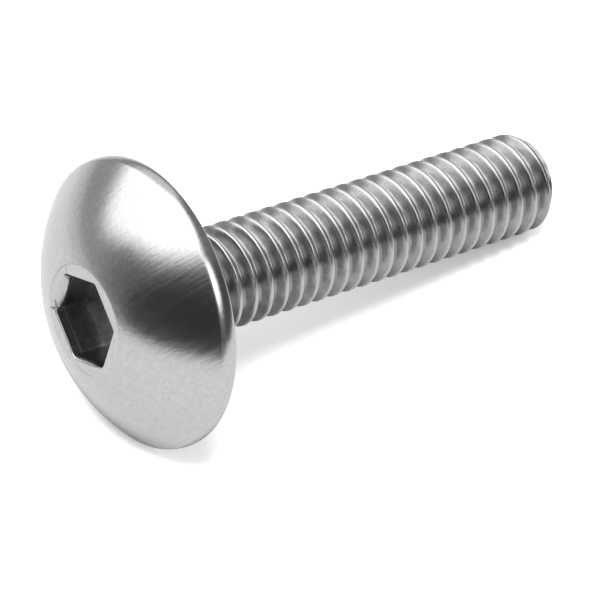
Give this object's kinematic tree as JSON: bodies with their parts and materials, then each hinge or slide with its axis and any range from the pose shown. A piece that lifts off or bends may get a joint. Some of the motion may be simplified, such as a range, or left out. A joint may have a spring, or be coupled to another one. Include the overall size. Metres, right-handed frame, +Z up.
{
  "type": "button head screw",
  "caption": "Machine screw with a wide, low domed head, a thin rim, a hexagon socket and a metric thread along its whole shank, lying on its side.",
  "frame": {"origin": "on the surface that the screw rests on, under the middle of its bounding box", "axes": "+X runs along the screw from its head to its point, seen from above (the shank dips 11.2 degrees below +X, because the screw rests on the rim of its head and the last full crest of its thread), +Y is across it, and +Z is up"},
  "size_m": [0.021, 0.0108, 0.0106],
  "materials": {
    "steel": "satin, lightly brushed"
  },
  "bodies": {
    "root": {"screw": "steel"}
  },
  "joints": []
}
